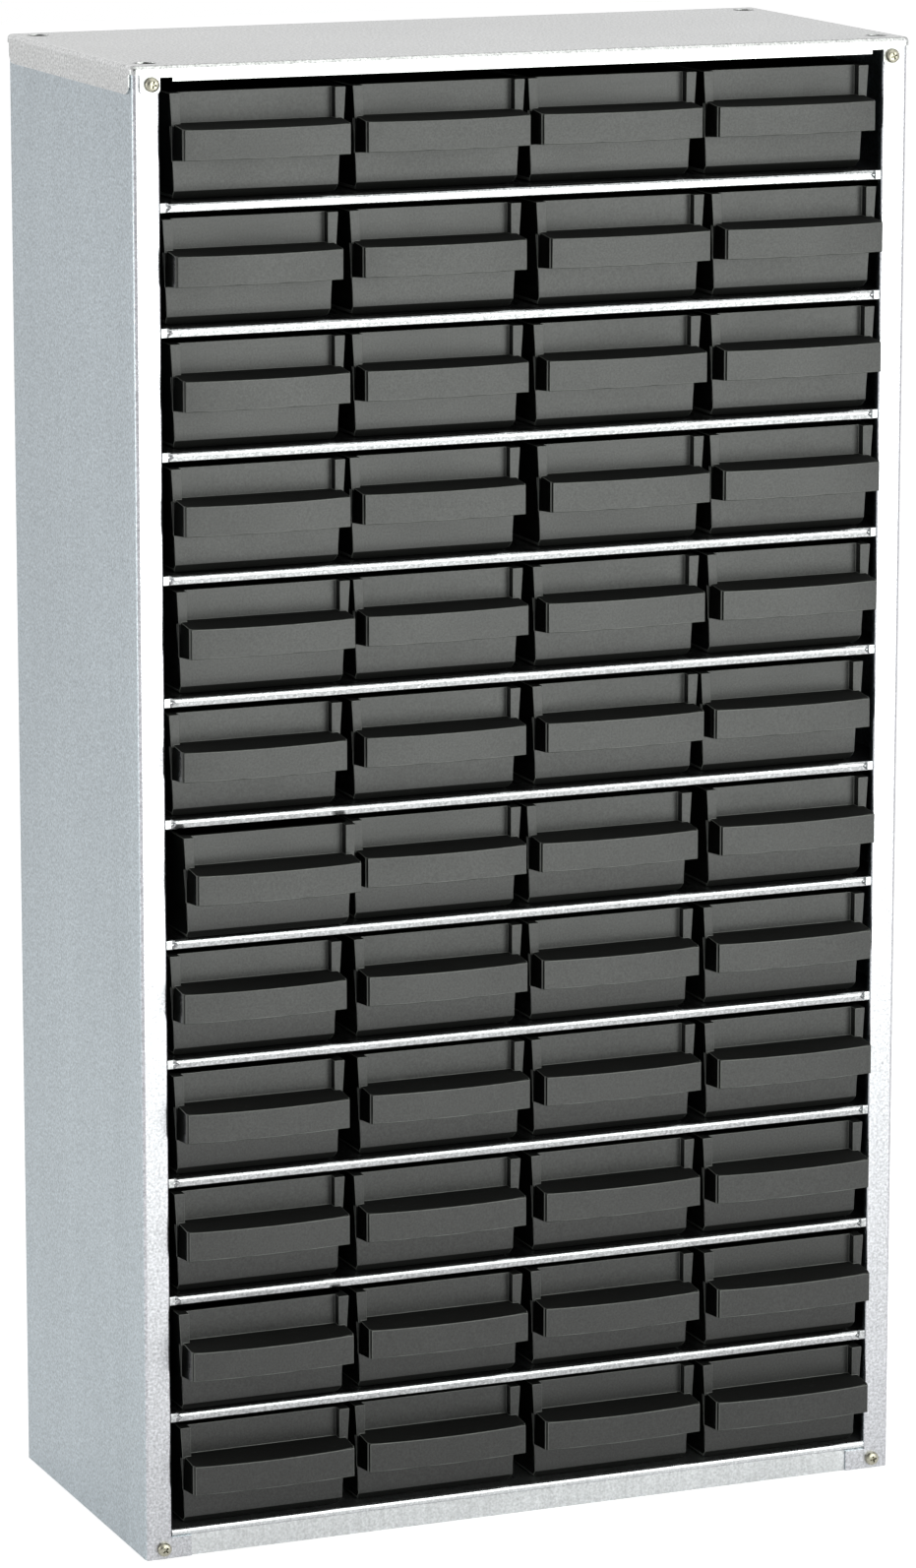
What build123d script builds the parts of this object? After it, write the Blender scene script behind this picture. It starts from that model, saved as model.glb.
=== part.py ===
from build123d import *
import os

# Parts bin cabinet: a galvanised sheet-steel case with twelve rows of four plastic drawers.
# Millimetres, +Z up, front towards -Y. The origin is the middle of the base, on the plane
# that the cabinet stands on.

# ---- Driving dimensions ------------------------------------------------------------------

# Case
rows = 12
columns = 4
row_pitch = 44.75          # shelf to shelf
column_pitch = 71.0        # drawer to drawer
case_depth = 137.0         # over the front and rear flanges
sheet = 0.8                # steel thickness of every panel
base_height = 11.1         # bottom row's running face above the ground
top_headroom = 3.1         # extra height of the top row
front_flange = 10.2        # width of the side panel's front flange
rear_flange = 14.0         # width of the side panel's rear flange
flange_return = 2.8        # depth of the fold behind the front flange
corner_bend = 1.6          # outside radius of the sheet bends
edge_bend = 1.0            # outside radius of the front flange's inner fold

# Shelf
lip_height = 4.0           # rolled front edge of a shelf
lip_top_radius = 1.9
lip_bottom_radius = 1.2
shelf_side_drop = 8.0      # downturned end that is welded to the side panel
shelf_rear_drop = 5.0
shelf_end_setback = 5.0    # the downturned ends stop this far from front and rear
guide_width = 2.0          # low ridge pressed up between two columns
guide_height = 1.2
guide_front_setback = 9.0
guide_rear_setback = 12.0

# Base
base_bead_height = 3.1     # rolled upper edge of the base's front lip
base_bead_radius = 1.4
foot_width = 17.0          # flange under each end that the cabinet stands on
tab_width = 7.7            # side panel's foot tab in front of the base
tab_gap = 0.2
flap_gap = 1.2             # open corner between two folded edges of the base

# Top cover
cover_skirt = 10.5         # height of the side rims and the corner ears
cover_lip = 5.9            # height of the front and rear lips between the ears
cover_notch_width = 4.6    # relief beside each ear
cover_notch_height = 1.5
cover_corner_radius = 2.4
cover_slit = 3.2           # open corner between a rim and an ear
cover_slit_top = 3.2
ear_radius = 2.2
rim_end_radius = 4.0
stack_hole_diameter = 8.6
stack_hole_inset_x = 8.2    # from each side of the case to the holes' centres
stack_hole_inset_y = 10.0   # from its front and from its rear

# Back panel
wall_hole_diameter = 6.0
wall_hole_spacing = 240.0
wall_hole_drop = 52.0      # below the top of the cabinet

# Corner screws
screw_inset = 6.9          # from the side of the case
screw_top_drop = 6.7       # from the top of the cabinet
screw_base_height = 3.9
screw_shank_diameter = 2.9
screw_hole_diameter = 3.2
screw_head_diameter = 5.4
screw_head_height = 2.2
screw_length = 7.0
screw_dome_radius = 0.9
recess_width = 0.7         # cross recess in the head
recess_length = 3.0
recess_depth = 1.1

# Drawer
running_gap = 0.3          # clearance between a drawer and what it meets
drawer_headroom = 2.25     # under the lip above
side_gap = 4.0             # between the rims of two neighbouring drawers
side_lean = 2.3            # how much each side leans out from floor to rim
rear_gap = 4.5             # behind a drawer whose ribs are flush with the case
wall = 1.5
floor_thickness = 1.5
inner_corner_radius = 2.0
inner_edge_radius = 1.5
bottom_edge_radius = 1.8
rear_corner_radius = 3.0
front_chamfer = 3.2        # slope under the front panel
lower_panel_setback = 2.2  # behind the rib faces
label_panel_setback = 3.6
label_panel_height = 11.1
front_wall = 1.6
rib_width = 3.4
handle_reach = 10.2        # in front of the rib faces, at the handle's ends
handle_bow = 1.7           # further reach at the middle
handle_height = 10.8       # height of the apron
handle_wall = 1.6
ledge_fall = 1.3           # the ledge slopes down towards the front
cheek_drop = 1.1           # the cheeks reach lower at the drawer's wall
handle_inset = 0.1         # inside the drawer's width at that height
apron_step = 0.45          # the front plate is narrower than the cheeks
apron_plate = 1.5          # thickness of that front plate
front_edge_radius = 0.35
stop_height = 4.7          # stop lug above the drawer's rim
stop_length = 6.0
stop_inset = 0.2           # the lug is this much thinner than the wall, on each face
stop_from_rear = 24.0

# Where the drawers stand off the middle of their places: (row, column): (sideways, pulled out)
resting_places = {
    (1, 1): (2.0, -0.8), (1, 2): (1.5, -2.8), (1, 3): (-1.0, -3.4), (1, 4): (-2.4, -2.8),
    (2, 1): (-1.2, -0.4), (2, 2): (-0.5, -1.2), (2, 3): (0.9, 0.0),
    (3, 1): (1.3, -0.3), (3, 2): (0.3, -1.1),
    (4, 1): (0.6, 1.4), (4, 2): (-1.1, -0.3), (4, 3): (1.4, 0.4),
    (5, 1): (2.6, 0.5), (5, 4): (-0.8, 0.6),
    (6, 1): (-0.8, 0.8), (6, 2): (-0.8, 0.0), (6, 4): (-2.9, 0.3),
    (7, 1): (2.7, 5.6), (7, 2): (-0.7, 0.4), (7, 3): (-2.5, 0.8),
    (8, 1): (-1.0, 0.2), (8, 3): (-1.4, 0.3), (8, 4): (-1.2, 0.6),
    (9, 1): (-0.4, 1.3), (9, 2): (1.1, 0.0), (9, 4): (-0.5, 0.9),
    (10, 2): (-0.7, 0.9), (10, 4): (-0.9, 1.1),
    (11, 1): (0.0, 3.7), (11, 2): (0.0, 1.3), (11, 4): (-0.3, 1.8),
    (12, 1): (1.5, 0.2), (12, 2): (0.4, -1.5), (12, 3): (1.2, -1.1), (12, 4): (0.0, 1.1),
}

# ---- Derived sizes -----------------------------------------------------------------------

case_width = columns * column_pitch + 2 * front_flange
case_height = base_height + rows * row_pitch + top_headroom + sheet
half_width = case_width / 2
half_depth = case_depth / 2
front_y = -half_depth
rear_y = half_depth
opening = half_width - front_flange            # half of the clear front opening
inner_half_width = half_width - sheet
panel_top = case_height - sheet                # underside of the top cover
back_front_y = rear_y - 2 * sheet              # front face of the back panel
fold_back = front_y + flange_return + running_gap  # what lies behind the folds starts here
lip_depth = fold_back - front_y
tab_top = base_height - base_bead_height - tab_gap
screw_x = half_width - screw_inset
screw_top_z = case_height - screw_top_drop

drawer_height = row_pitch - lip_height - drawer_headroom - running_gap
drawer_half_top = (column_pitch - side_gap) / 2
drawer_half_bottom = drawer_half_top - side_lean
drawer_rear = back_front_y - rear_gap - front_y    # from the rib faces to the rear wall
ledge_z = drawer_height - label_panel_height
apron_top = ledge_z - ledge_fall
apron_bottom = apron_top - handle_height
handle_bottom = apron_bottom - cheek_drop
handle_front = handle_reach + handle_bow
cavity_front = label_panel_setback + front_wall
cut_margin = 5.0                                   # how far cutting shapes run past the part


def half_width_at(z):
    """Half of the drawer's outer width at a height above its underside."""
    return drawer_half_bottom + side_lean * z / drawer_height


cavity_half_floor = half_width_at(floor_thickness) - wall
cavity_half_rim = drawer_half_top - wall


# ---- Case --------------------------------------------------------------------------------

def screw_points():
    """X and Z of the four corner screws, seen from the front."""
    return [(sx * screw_x, z) for sx in (-1, 1) for z in (screw_base_height, screw_top_z)]


def stack_hole_centres():
    """X and Y of the four stacking holes, in the top cover and in the base's feet."""
    spacing_x = case_width - 2 * stack_hole_inset_x
    spacing_y = case_depth - 2 * stack_hole_inset_y
    return GridLocations(spacing_x, spacing_y, 2, 2)


def make_side_panel(side, label):
    """Side wall with a folded front flange, a rear flange and a foot tab. side is -1 or 1."""
    flange_end = side * opening
    return_back = front_y + flange_return
    outer = side * half_width
    inner = side * inner_half_width
    rear_end = side * (half_width - rear_flange)
    with BuildPart() as panel:
        with BuildSketch() as plan:
            with BuildLine():
                Polyline(
                    (rear_end, rear_y), (outer, rear_y), (outer, front_y),
                    (flange_end, front_y), (flange_end, return_back),
                    (flange_end + side * sheet, return_back),
                    (flange_end + side * sheet, front_y + sheet),
                    (inner, front_y + sheet), (inner, rear_y - sheet),
                    (rear_end, rear_y - sheet), close=True)
            make_face()
            corners = plan.vertices().group_by(Axis.X)[-1 if side > 0 else 0]
            fillet(corners, corner_bend)
            bend_insides = plan.vertices().filter_by(
                lambda v: abs(v.X - inner) < sheet / 4 and abs(v.Y) > half_depth - 2 * sheet)
            fillet(bend_insides, corner_bend - sheet)
            fold = plan.vertices().filter_by(
                lambda v: abs(v.X - flange_end) < sheet / 4 and abs(v.Y - front_y) < sheet / 4)
            fillet(fold, edge_bend)
        extrude(amount=panel_top)
        # The fold stops above the base, whose front lip passes behind the flange.
        with BuildSketch(Plane.XZ.offset(half_depth - sheet)):
            with Locations((flange_end + side * sheet / 2, 0)):
                Rectangle(2 * sheet, 2 * (base_height + running_gap))
        extrude(amount=-(flange_return + cut_margin), mode=Mode.SUBTRACT)
        with BuildSketch(Plane.XZ.offset(half_depth - sheet)):
            tab_start = opening - tab_width
            tab_end = opening + edge_bend + sheet
            with Locations((side * (tab_start + tab_end) / 2, tab_top / 2)):
                Rectangle(tab_end - tab_start, tab_top)
        extrude(amount=sheet)
        with BuildSketch(Plane.XZ):
            with Locations(*screw_points()):
                Circle(screw_hole_diameter / 2)
        extrude(amount=case_depth, both=True, mode=Mode.SUBTRACT)
    panel.part.label = label
    return panel.part


def make_back_panel():
    """Flat sheet between the side panels' rear flanges and the shelves."""
    with BuildPart() as back:
        with BuildSketch(Plane.XZ.offset(-back_front_y)):
            with Locations((0, panel_top / 2)):
                Rectangle(2 * inner_half_width - 2 * (corner_bend - sheet), panel_top)
            with Locations(*screw_points()):
                Circle(screw_hole_diameter / 2, mode=Mode.SUBTRACT)
            with Locations((0, case_height - wall_hole_drop)):
                with GridLocations(wall_hole_spacing, 0, 2, 1):
                    Circle(wall_hole_diameter / 2, mode=Mode.SUBTRACT)
        extrude(amount=-sheet)
    back.part.label = "back_panel"
    return back.part


def make_top_cover():
    """Pressed cover: a flat top, side rims, front and rear lips and four corner ears."""
    cover_x = case_width + 2 * sheet
    cover_y = case_depth + 2 * sheet
    skirt_bottom = case_height - cover_skirt
    with BuildPart() as cover:
        with BuildSketch(Plane.XY.offset(skirt_bottom)):
            RectangleRounded(cover_x, cover_y, cover_corner_radius)
        extrude(amount=cover_skirt)
        fillet(cover.faces().sort_by(Axis.Z)[-1].edges(), corner_bend)
        with BuildSketch(Plane.XY.offset(skirt_bottom)):
            Rectangle(case_width, case_depth)
        extrude(amount=cover_skirt - sheet, mode=Mode.SUBTRACT)
        # The lips are shorter than the ears, with a relief beside each ear.
        with BuildSketch(Plane.XZ):
            with Locations((0, skirt_bottom)):
                Rectangle(2 * (opening - cover_notch_width), 2 * (cover_skirt - cover_lip))
            with Locations((0, skirt_bottom)):
                notch_rise = cover_skirt - cover_lip + cover_notch_height
                Rectangle(2 * opening, 2 * notch_rise)
            with Locations((0, case_height - cover_lip + cover_notch_height / 2)):
                Rectangle(2 * (opening - cover_notch_width), cover_notch_height,
                          mode=Mode.SUBTRACT)
        extrude(amount=cover_y, both=True, mode=Mode.SUBTRACT)
        # Each corner is open below the bend, so rims and ears are separate flaps.
        with BuildSketch(Plane.XY.offset(skirt_bottom)):
            with GridLocations(cover_x, cover_y, 2, 2):
                Rectangle(2 * cover_slit, 2 * cover_slit)
        extrude(amount=cover_skirt - cover_slit_top, mode=Mode.SUBTRACT)
        low_edges = cover.faces().group_by(Axis.Z)[0].edges()
        ear_ends = low_edges.filter_by(Axis.Y).filter_by(lambda e: abs(e.center().Y) > half_depth)
        fillet(ear_ends, ear_radius)
        low_edges = cover.faces().group_by(Axis.Z)[0].edges()
        rim_ends = low_edges.filter_by(Axis.X).filter_by(lambda e: abs(e.center().X) > half_width)
        fillet(rim_ends, rim_end_radius)
        with BuildSketch(Plane.XY.offset(panel_top)):
            with stack_hole_centres():
                Circle(stack_hole_diameter / 2)
        extrude(amount=sheet, mode=Mode.SUBTRACT)
        with BuildSketch(Plane.XZ):
            with Locations(*screw_points()):
                Circle(screw_hole_diameter / 2)
        extrude(amount=cover_y, both=True, mode=Mode.SUBTRACT)
    cover.part.label = "top_cover"
    return cover.part


def add_guides(top_z):
    """Low ridges pressed up from a running face, one between each two columns of drawers."""
    guide_front = front_y + guide_front_setback
    guide_rear = back_front_y - guide_rear_setback
    with BuildSketch(Plane.XZ.offset(-guide_rear)) as ridges:
        with Locations((0, top_z)):
            with GridLocations(column_pitch, 0, columns - 1, 1):
                Trapezoid(guide_width, guide_height, 60, align=(Align.CENTER, Align.MIN))
    extrude(ridges.sketch, amount=guide_rear - guide_front)


def make_base_panel():
    """Inverted tray under the bottom row, with a beaded front lip and a foot along each end."""
    with BuildPart() as base:
        with BuildSketch(Plane.XY.offset(base_height - sheet)):
            with Locations((0, (fold_back + back_front_y) / 2)):
                Rectangle(2 * inner_half_width, back_front_y - fold_back)
            with Locations((0, (front_y + fold_back) / 2)):
                Rectangle(2 * opening, lip_depth)
        extrude(amount=sheet)
        # Rolled bead flush with the side flanges, square ends between them.
        with BuildSketch(Plane.YZ.offset(-opening)):
            with Locations((front_y + lip_depth / 2, base_height - base_bead_height / 2)):
                Rectangle(lip_depth, base_bead_height)
        extrude(amount=2 * opening)
        bead_edges = base.faces().sort_by(Axis.Y)[0].edges().filter_by(Axis.X)
        fillet(bead_edges, base_bead_radius)
        with BuildSketch(Plane.YZ.offset(-opening)):
            with Locations((front_y + sheet + lip_depth / 2, base_height - base_bead_height / 2)):
                Rectangle(lip_depth, base_bead_height - 2 * sheet)
        extrude(amount=2 * opening, mode=Mode.SUBTRACT)
        # Front and rear lips reach the ground between the side panels.
        lip_half = inner_half_width - (corner_bend - sheet)
        with BuildSketch(Plane.XZ.offset(half_depth - sheet)):
            with Locations((0, (base_height - base_bead_height + sheet) / 2)):
                Rectangle(2 * lip_half, base_height - base_bead_height + sheet)
        extrude(amount=-sheet)
        with BuildSketch(Plane.XZ.offset(-back_front_y)):
            with Locations((0, base_height / 2)):
                Rectangle(2 * lip_half, base_height)
        extrude(amount=sheet)
        # Ends: a downturned wall and an inward foot with the stacking holes.
        end_front = front_y + 2 * sheet + flap_gap
        end_length = back_front_y - sheet - flap_gap - end_front
        for side in (-1, 1):
            with BuildSketch(Plane.XY):
                with Locations((side * (inner_half_width - sheet / 2), end_front + end_length / 2)):
                    Rectangle(sheet, end_length)
            extrude(amount=base_height)
            with BuildSketch(Plane.XY):
                with Locations((side * (inner_half_width - foot_width / 2),
                                end_front + end_length / 2)):
                    Rectangle(foot_width, end_length)
            extrude(amount=sheet)
        with BuildSketch(Plane.XY):
            with stack_hole_centres():
                Circle(stack_hole_diameter / 2)
        extrude(amount=sheet, mode=Mode.SUBTRACT)
        with BuildSketch(Plane.XZ):
            with Locations(*screw_points()):
                Circle(screw_hole_diameter / 2)
        extrude(amount=case_depth, both=True, mode=Mode.SUBTRACT)
        add_guides(base_height)
    base.part.label = "base_panel"
    return base.part


def make_shelf(top_z):
    """Shelf sheet with a rolled front lip, downturned ends and a downturned rear edge."""
    with BuildPart() as shelf:
        with BuildSketch(Plane.XY.offset(top_z - sheet)):
            with Locations((0, (fold_back + back_front_y) / 2)):
                Rectangle(2 * inner_half_width, back_front_y - fold_back)
            with Locations((0, (front_y + fold_back) / 2)):
                Rectangle(2 * opening, lip_depth)
        extrude(amount=sheet)
        # Rolled lip: a closed round bar shape first, then its hollow, open to the rear.
        with BuildSketch(Plane.YZ.offset(-opening)):
            with Locations((front_y + lip_depth / 2, top_z - lip_height / 2)):
                Rectangle(lip_depth, lip_height)
        extrude(amount=2 * opening)
        front_face = shelf.faces().sort_by(Axis.Y)[0]
        fillet(front_face.edges().filter_by(Axis.X).sort_by(Axis.Z)[-1], lip_top_radius)
        front_face = shelf.faces().sort_by(Axis.Y)[0]
        fillet(front_face.edges().filter_by(Axis.X).sort_by(Axis.Z)[0], lip_bottom_radius)
        with BuildSketch(Plane.YZ.offset(-opening)) as hollow:
            with Locations((front_y + sheet + lip_depth / 2, top_z - lip_height / 2)):
                Rectangle(lip_depth, lip_height - 2 * sheet)
            front_corners = hollow.vertices().group_by(Axis.X)[0]
            fillet(front_corners, lip_bottom_radius - sheet / 2)
        extrude(amount=2 * opening, mode=Mode.SUBTRACT)
        end_front = fold_back + shelf_end_setback
        end_rear = back_front_y - shelf_end_setback
        for side in (-1, 1):
            with BuildSketch(Plane.XY.offset(top_z - shelf_side_drop)):
                with Locations((side * (inner_half_width - sheet / 2), (end_front + end_rear) / 2)):
                    Rectangle(sheet, end_rear - end_front)
            extrude(amount=shelf_side_drop)
        with BuildSketch(Plane.XZ.offset(-back_front_y)):
            with Locations((0, top_z - shelf_rear_drop / 2)):
                Rectangle(2 * opening, shelf_rear_drop)
        extrude(amount=sheet)
        add_guides(top_z)
    return shelf.part


def make_shelves():
    """All the shelves between the bottom and the top row, each its own solid."""
    shelves = [make_shelf(base_height + step * row_pitch) for step in range(1, rows)]
    return Compound(label="shelves", children=shelves)


def make_corner_screw():
    """Pan-head screw along Z with its head above the origin and its shank below."""
    with BuildPart() as screw:
        with BuildSketch(Plane.XY):
            Circle(screw_head_diameter / 2)
        extrude(amount=screw_head_height)
        fillet(screw.faces().sort_by(Axis.Z)[-1].edges(), screw_dome_radius)
        with BuildSketch(Plane.XY):
            Circle(screw_shank_diameter / 2)
        extrude(amount=-screw_length)
        chamfer(screw.faces().sort_by(Axis.Z)[0].edges(), screw_shank_diameter / 4)
        with BuildSketch(Plane.XY.offset(screw_head_height)):
            Rectangle(recess_length, recess_width)
            Rectangle(recess_width, recess_length)
        extrude(amount=-recess_depth, mode=Mode.SUBTRACT)
    return screw.part


def make_corner_screws(facing, label):
    """Four screws on the front (facing -1) or the rear (facing 1) of the case."""
    screw = make_corner_screw()
    seats = []
    for x, z in screw_points():
        seat = half_depth + (sheet if z > case_height / 2 else 0)
        seats.append(Plane(origin=(x, facing * seat, z), x_dir=(1, 0, 0), z_dir=(0, facing, 0)))
    return Compound(label=label, children=[seat.location * screw for seat in seats])


# ---- Drawer ------------------------------------------------------------------------------

def make_drawer():
    """Open-topped moulded drawer with its rib faces at Y = 0 and its underside at Z = 0."""
    with BuildPart() as drawer:
        # Outer body: one section across the drawer, run from the lower panel to the rear.
        with BuildSketch(Plane.XZ.offset(-drawer_rear)) as section:
            with BuildLine():
                Polyline((-drawer_half_bottom, 0), (drawer_half_bottom, 0),
                         (drawer_half_top, drawer_height), (-drawer_half_top, drawer_height),
                         close=True)
            make_face()
            fillet(section.vertices().group_by(Axis.Y)[0], bottom_edge_radius)
        extrude(amount=drawer_rear - lower_panel_setback)
        rear_corners = drawer.faces().sort_by(Axis.Y)[-1].edges().filter_by(
            lambda e: e.length > drawer_height / 2 and abs(e.center().X) > drawer_half_bottom / 2)
        fillet(rear_corners, rear_corner_radius)
        # Cavity: the same leaning section, a wall's thickness further in.
        with BuildSketch(Plane.XZ.offset(wall - drawer_rear)) as inside:
            with BuildLine():
                Polyline((-cavity_half_floor, floor_thickness), (cavity_half_floor, floor_thickness),
                         (cavity_half_rim, drawer_height), (-cavity_half_rim, drawer_height),
                         close=True)
            make_face()
            fillet(inside.vertices().group_by(Axis.Y)[0], inner_edge_radius)
        extrude(amount=drawer_rear - wall - cavity_front, mode=Mode.SUBTRACT)
        inner_corners = drawer.edges().filter_by(
            lambda e: e.length > drawer_height / 2 and abs(e.center().X) < drawer_half_top - wall / 2
            and abs(e.center().X) > drawer_half_bottom / 2 and abs(e.tangent_at(0.5).Z) > 0.9
            and cavity_front - wall / 2 < e.center().Y < drawer_rear - wall / 2)
        fillet(inner_corners, inner_corner_radius)
        # The underside slopes up to the front panel.
        with BuildSketch(Plane.YZ):
            with BuildLine():
                Polyline((lower_panel_setback - cut_margin, -cut_margin),
                         (lower_panel_setback + front_chamfer + cut_margin, -cut_margin),
                         (lower_panel_setback - cut_margin, front_chamfer + cut_margin),
                         close=True)
            make_face()
        extrude(amount=column_pitch, both=True, mode=Mode.SUBTRACT)
        make_label_place()
        make_handle()
        make_stops()
        apron = drawer.faces().sort_by(Axis.Y)[0]
        fillet(apron.edges(), front_edge_radius)
    return drawer.part


def make_label_place():
    """Recessed panel between two upright ribs."""
    label_half = half_width_at(ledge_z) - rib_width
    rib_foot = ledge_z - handle_wall / 2
    with BuildSketch(Plane.XZ.offset(-label_panel_setback)) as recess:
        with Locations((0, ledge_z + label_panel_height / 2)):
            Rectangle(2 * label_half, label_panel_height)
    extrude(recess.sketch, amount=label_panel_setback - lower_panel_setback, mode=Mode.SUBTRACT)
    with BuildSketch(Plane.XZ.offset(-lower_panel_setback)) as ribs:
        with BuildLine():
            Polyline((label_half, rib_foot), (half_width_at(rib_foot), rib_foot),
                     (drawer_half_top, drawer_height), (label_half, drawer_height), close=True)
        make_face()
        mirror(about=Plane.YZ)
    extrude(ribs.sketch, amount=lower_panel_setback)


def make_handle():
    """Ledge, bowed apron and two cheeks, open from below for the fingers."""
    half = half_width_at(handle_bottom) - handle_inset
    plate_half = half - apron_step
    plate_back = -handle_reach + apron_plate
    with BuildSketch(Plane.XY.offset(handle_bottom)) as outside:
        with BuildLine():
            Polyline((plate_half, -handle_reach), (plate_half, plate_back), (half, plate_back),
                     (half, lower_panel_setback), (-half, lower_panel_setback),
                     (-half, plate_back), (-plate_half, plate_back), (-plate_half, -handle_reach))
            ThreePointArc((-plate_half, -handle_reach), (0, -handle_front),
                          (plate_half, -handle_reach))
        make_face()
    extrude(outside.sketch, amount=ledge_z - handle_bottom)
    hollow_half = half - handle_wall
    hollow_reach = handle_reach - handle_wall
    with BuildSketch(Plane.XY.offset(handle_bottom)) as hollow:
        with BuildLine():
            Polyline((hollow_half, -hollow_reach), (hollow_half, lower_panel_setback),
                     (-hollow_half, lower_panel_setback), (-hollow_half, -hollow_reach))
            ThreePointArc((-hollow_half, -hollow_reach), (0, -hollow_reach - handle_bow),
                          (hollow_half, -hollow_reach))
        make_face()
    extrude(hollow.sketch, amount=apron_top - handle_wall - handle_bottom, mode=Mode.SUBTRACT)
    # The ledge falls towards the front, and the cheeks' lower edges rise towards it.
    beyond = -handle_front - cut_margin
    with BuildSketch(Plane.YZ) as trims:
        with BuildLine():
            Polyline((0, ledge_z), (-handle_front, apron_top), (beyond, apron_top),
                     (beyond, ledge_z + cut_margin), (0, ledge_z + cut_margin), close=True)
        make_face()
        with BuildLine():
            Polyline((lower_panel_setback, handle_bottom), (-handle_reach, apron_bottom),
                     (beyond, apron_bottom), (beyond, handle_bottom - cut_margin),
                     (lower_panel_setback, handle_bottom - cut_margin), close=True)
        make_face()
    extrude(trims.sketch, amount=column_pitch, both=True, mode=Mode.SUBTRACT)


def make_stops():
    """Lugs on the side walls that catch behind the lip above when the drawer is pulled out."""
    lug = wall - 2 * stop_inset
    with Locations((0, drawer_rear - stop_from_rear, drawer_height - wall / 2)):
        with GridLocations(2 * drawer_half_top - wall, 0, 2, 1):
            Box(lug, stop_length, stop_height + wall / 2,
                align=(Align.CENTER, Align.CENTER, Align.MIN))


def place_drawers(template):
    """One labelled copy of the drawer in each place of the case."""
    drawers = []
    for row in range(1, rows + 1):
        floor_z = base_height + (rows - row) * row_pitch + running_gap
        for column in range(1, columns + 1):
            sideways, pulled_out = resting_places.get((row, column), (0.0, 0.0))
            x = (column - (columns + 1) / 2) * column_pitch + sideways
            with BuildPart() as placed:
                with Locations((x, front_y - pulled_out, floor_z)):
                    add(template)
            placed.part.label = f"drawer_r{row:02d}_c{column}"
            drawers.append(placed.part)
    return drawers


# ---- Output ------------------------------------------------------------------------------

pieces = [
    make_top_cover(),
    make_side_panel(-1, "left_side_panel"),
    make_side_panel(1, "right_side_panel"),
    make_back_panel(),
    make_base_panel(),
    make_shelves(),
    make_corner_screws(-1, "front_corner_screws"),
    make_corner_screws(1, "rear_corner_screws"),
]
pieces += place_drawers(make_drawer())

os.makedirs("parts", exist_ok=True)
for piece in pieces:
    export_step(piece, f"parts/{piece.label}.step")
print(f"{len(pieces)} pieces, case {case_width:.1f} x {case_depth:.1f} x {case_height:.1f}")
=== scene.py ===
import math

import bmesh
import bpy
from bpy.props import (FloatProperty, FloatVectorProperty, IntProperty, PointerProperty)
from mathutils import Matrix, Vector


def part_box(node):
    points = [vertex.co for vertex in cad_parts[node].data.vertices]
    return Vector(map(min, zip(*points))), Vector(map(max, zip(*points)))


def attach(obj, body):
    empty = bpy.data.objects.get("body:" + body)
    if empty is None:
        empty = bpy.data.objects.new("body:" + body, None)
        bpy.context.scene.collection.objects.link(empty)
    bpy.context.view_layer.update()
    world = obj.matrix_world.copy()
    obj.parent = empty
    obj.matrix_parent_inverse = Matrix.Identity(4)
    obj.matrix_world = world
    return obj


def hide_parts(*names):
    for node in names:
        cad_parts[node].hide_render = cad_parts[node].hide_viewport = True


bl_info = {
    "name": "Parts bin cabinet",
    "version": (1, 0, 0),
    "blender": (4, 5, 0),
    "location": "3D View > Sidebar > Cabinet",
    "description": "Finishes a galvanised parts cabinet with forty-eight plastic drawers",
    "category": "Object",
}

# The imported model: the case's panels are one body, and every drawer is a body of its own.
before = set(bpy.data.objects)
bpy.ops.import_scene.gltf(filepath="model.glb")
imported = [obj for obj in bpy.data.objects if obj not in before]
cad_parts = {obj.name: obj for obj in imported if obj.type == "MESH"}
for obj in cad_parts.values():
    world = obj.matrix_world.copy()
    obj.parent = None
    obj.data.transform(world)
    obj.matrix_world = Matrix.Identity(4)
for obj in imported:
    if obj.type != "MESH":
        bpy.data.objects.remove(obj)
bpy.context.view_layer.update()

MM = 0.001
RIM_WIDTH = 0.32 * MM   # faces narrower than this belong to a rounded edge
CASE_BODY = "cabinet"
CASE_PANELS = ("top_cover", "left_side_panel", "right_side_panel", "back_panel", "base_panel")
DRAWER_NODES = sorted(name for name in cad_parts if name.startswith("drawer_"))


# ---- Settings ----------------------------------------------------------------------------

class CabinetSteelSettings(bpy.types.PropertyGroup):
    """Galvanised sheet of the case, the cover and the shelves."""
    # One zinc in lighter and darker copies for painted light and shade: darker on the sides and the
    # back, lighter on the forward faces, the cover and the base.
    side_shaded_colour: FloatVectorProperty(
        name="Side colour", description="Zinc colour of the side panels",
        subtype="COLOR", size=3, min=0.0, max=1.0, default=(0.405, 0.452, 0.485))
    front_lit_colour: FloatVectorProperty(
        name="Front colour", description="Zinc colour of the sheet's front faces",
        subtype="COLOR", size=3, min=0.0, max=1.0, default=(0.500, 0.500, 0.530))
    cover_lit_colour: FloatVectorProperty(
        name="Cover colour", description="Zinc colour of the top cover",
        subtype="COLOR", size=3, min=0.0, max=1.0, default=(0.560, 0.565, 0.565))
    base_lit_colour: FloatVectorProperty(
        name="Base colour", description="Zinc colour of the base and its front lip",
        subtype="COLOR", size=3, min=0.0, max=1.0, default=(0.600, 0.610, 0.625))
    lip_colour: FloatVectorProperty(
        name="Lip colour", description="Zinc colour of the shelves and their lips",
        subtype="COLOR", size=3, min=0.0, max=1.0, default=(0.440, 0.446, 0.458))
    spangle_size: FloatProperty(
        name="Spangle size", description="Width of one zinc crystal on the sheet",
        subtype="DISTANCE", unit="LENGTH", default=1.7 * MM)
    grain_size: FloatProperty(
        name="Grain size", description="Width of the finest speckle on the sheet",
        subtype="DISTANCE", unit="LENGTH", default=0.95 * MM)
    edge_rounding: FloatProperty(
        name="Edge rounding", description="Radius on the cut edges of the sheet",
        subtype="DISTANCE", unit="LENGTH", default=0.14 * MM)


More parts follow.
